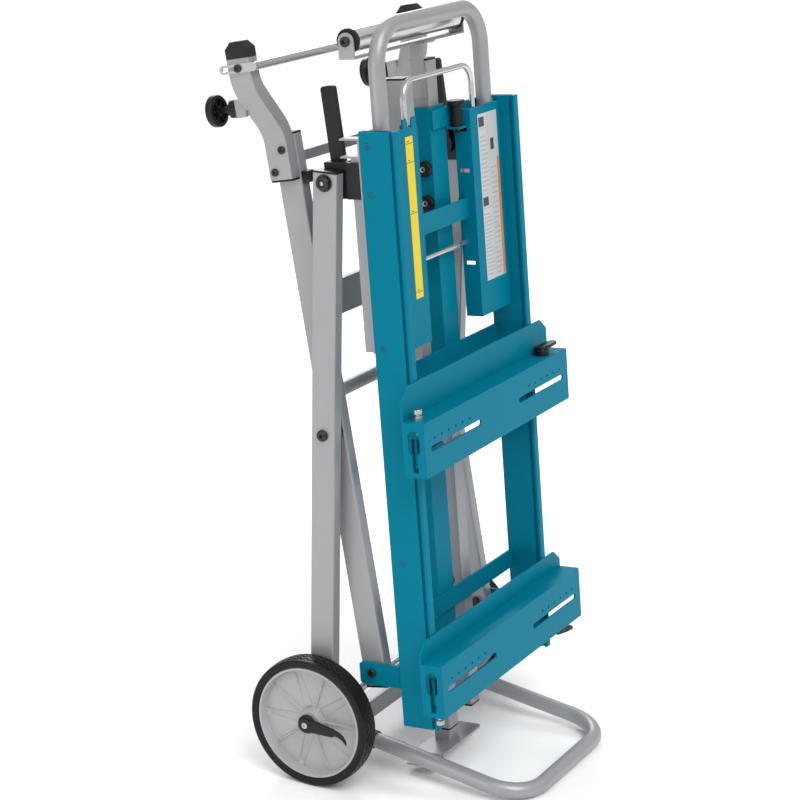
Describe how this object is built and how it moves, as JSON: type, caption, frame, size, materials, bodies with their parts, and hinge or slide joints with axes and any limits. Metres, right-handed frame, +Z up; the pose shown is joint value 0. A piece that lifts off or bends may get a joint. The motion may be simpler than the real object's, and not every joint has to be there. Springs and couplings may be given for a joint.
{
  "type": "folding miter saw stand",
  "caption": "Wheeled folding stand for a miter saw, folded upright: crossed legs, railed table, sliding saw brackets, roller arm and carrying handle.",
  "frame": {"origin": "on the floor, under the middle of the whole stand's bounding box", "axes": "+Z up, -Y to the side the saw brackets face, X across the stand along the axle"},
  "size_m": [0.538, 0.5116, 1.1888],
  "materials": {
    "teal_paint": "satin paint",
    "silver_paint": "satin silver paint",
    "teal_rail": "satin paint on an aluminium extrusion",
    "tube_aluminium": "satin silver",
    "bright_steel": "bright plated",
    "zinc_steel": "zinc plated",
    "dark_steel": "black oxide",
    "tyre_rubber": "matte",
    "rim_plastic": "moulded, light grey",
    "black_rubber": "matte",
    "black_plastic": "moulded, satin",
    "label_film": "printed film"
  },
  "bodies": {
    "wheel_legs": {"wheel_leg_left": "silver_paint", "wheel_leg_right": "silver_paint", "wheel_leg_plugs": "black_plastic", "axle": "bright_steel", "foot_loop": "silver_paint", "loop_sleeves": "black_plastic", "top_pivot_bolts": "dark_steel"},
    "foot_legs": {"foot_leg_left": "silver_paint", "foot_leg_right": "silver_paint", "foot_leg_plugs": "black_plastic", "foot_bar_left": "silver_paint", "foot_bar_right": "silver_paint", "foot_tips": "black_rubber", "bar_bolts": "dark_steel", "foot_rod": "bright_steel", "cross_members": "silver_paint", "centre_bolts": "dark_steel", "leg_spacers": "black_plastic", "lock_knobs": "black_plastic"},
    "table": {"rail_left": "teal_rail", "rail_right": "teal_rail", "lower_bolts": "dark_steel", "scale_plate": "teal_paint", "label_plate": "teal_paint", "scale_and_label": "label_film", "cross_bar": "teal_paint", "tie_rod": "bright_steel", "guide_channel_upper": "teal_paint", "guide_channel_lower": "teal_paint", "guide_blocks": "black_plastic", "channel_ties": "teal_paint", "slide_tracks": "bright_steel", "handle": "silver_paint", "wire_loop": "bright_steel", "plunger_knob": "black_plastic"},
    "wheel_left": {"tyre_left": "tyre_rubber", "rim_left": "rim_plastic"},
    "wheel_right": {"tyre_right": "tyre_rubber", "rim_right": "rim_plastic"},
    "hub_lever_left": {"hub_lever_left": "black_plastic"},
    "hub_lever_right": {"hub_lever_right": "black_plastic"},
    "levelling_foot_left": {"levelling_foot_left": "black_plastic"},
    "levelling_foot_right": {"levelling_foot_right": "black_plastic"},
    "sliders": {"slider_blocks": "black_plastic"},
    "lock_lever_left": {"lock_lever_left": "black_plastic"},
    "lock_lever_right": {"lock_lever_right": "black_plastic"},
    "upper_bracket": {"upper_bracket": "teal_paint", "upper_bracket_bolts": "zinc_steel"},
    "lower_bracket": {"lower_bracket": "teal_paint", "lower_bracket_bolts": "zinc_steel"},
    "upper_cam_lever": {"upper_cam_lever": "black_plastic"},
    "lower_cam_lever": {"lower_cam_lever": "black_plastic"},
    "roller_arm": {"roller_tube": "tube_aluminium", "roller_tube_plugs": "black_plastic", "roller_yoke": "silver_paint", "roller_pin": "dark_steel"},
    "roller": {"roller": "bright_steel"},
    "support_arm": {"support_tube": "tube_aluminium", "support_tube_plugs": "black_plastic", "support_plate": "silver_paint"}
  },
  "joints": [
    {"name": "leg_fold", "type": "hinge", "parent": "wheel_legs", "child": "foot_legs", "pos_m": [0, 0.07664, 0.56493], "axis": [-1, 0, 0], "range_deg": [0, 78.4]},
    {"name": "table_tilt", "type": "hinge", "parent": "foot_legs", "child": "table", "pos_m": [0, 0.00527, 0.18355], "axis": [1, 0, 0], "range_deg": [0, 39.3]},
    {"name": "slider_turn", "type": "hinge", "parent": "wheel_legs", "child": "sliders", "pos_m": [0, 0.06987, 0.95287], "axis": [-1, 0, 0], "range_deg": [0, 39.3]},
    {"name": "lock_lever_left_turn", "type": "hinge", "parent": "sliders", "child": "lock_lever_left", "pos_m": [0, 0.06987, 0.95287], "axis": [1, 0, 0], "range_deg": [0, 20]},
    {"name": "wheel_left_spin", "type": "hinge", "parent": "wheel_legs", "child": "wheel_left", "pos_m": [0, 0.08467, 0.105], "axis": [1, 0, 0], "continuous": true},
    {"name": "hub_lever_left_turn", "type": "hinge", "parent": "wheel_legs", "child": "hub_lever_left", "pos_m": [0, 0.08467, 0.105], "axis": [1, 0, 0], "range_deg": [0, 90]},
    {"name": "levelling_foot_left_screw", "type": "slide", "parent": "foot_legs", "child": "levelling_foot_left", "axis": [0, 0.9829, -0.184], "range_m": [-0.004, 0.014]},
    {"name": "lock_lever_right_turn", "type": "hinge", "parent": "sliders", "child": "lock_lever_right", "pos_m": [0, 0.06987, 0.95287], "axis": [1, 0, 0], "range_deg": [0, 20]},
    {"name": "wheel_right_spin", "type": "hinge", "parent": "wheel_legs", "child": "wheel_right", "pos_m": [0, 0.08467, 0.105], "axis": [1, 0, 0], "continuous": true},
    {"name": "hub_lever_right_turn", "type": "hinge", "parent": "wheel_legs", "child": "hub_lever_right", "pos_m": [0, 0.08467, 0.105], "axis": [1, 0, 0], "range_deg": [0, 90]},
    {"name": "levelling_foot_right_screw", "type": "slide", "parent": "foot_legs", "child": "levelling_foot_right", "axis": [0, 0.9829, -0.184], "range_m": [-0.004, 0.014]},
    {"name": "upper_bracket_slide", "type": "slide", "parent": "table", "child": "upper_bracket", "axis": [0, 0.0837, 0.9965], "range_m": [0, 0.34]},
    {"name": "upper_cam_turn", "type": "hinge", "parent": "upper_bracket", "child": "upper_cam_lever", "pos_m": [0.188, -0.09494, 0.61846], "axis": [0, -0.0837, -0.9965], "range_deg": [0, 90]},
    {"name": "lower_bracket_slide", "type": "slide", "parent": "table", "child": "lower_bracket", "axis": [0, 0.0837, 0.9965], "range_m": [0, 0.2]},
    {"name": "lower_cam_turn", "type": "hinge", "parent": "lower_bracket", "child": "lower_cam_lever", "pos_m": [0.188, -0.13352, 0.15908], "axis": [0, -0.0837, -0.9965], "range_deg": [0, 90]},
    {"name": "roller_arm_slide", "type": "slide", "parent": "table", "child": "roller_arm", "axis": [0, 0.0837, 0.9965], "range_m": [0, 0.35]},
    {"name": "roller_spin", "type": "hinge", "parent": "roller_arm", "child": "roller", "pos_m": [0, 0.05671, 1.15465], "axis": [1, 0, 0], "continuous": true},
    {"name": "support_arm_slide", "type": "slide", "parent": "table", "child": "support_arm", "axis": [0, -0.0837, -0.9965], "range_m": [0, 0.35]}
  ],
  "couplings": [
    {"joint": "table_tilt", "follows": "leg_fold", "ratio": 0.5},
    {"joint": "slider_turn", "follows": "leg_fold", "ratio": 0.5}
  ]
}
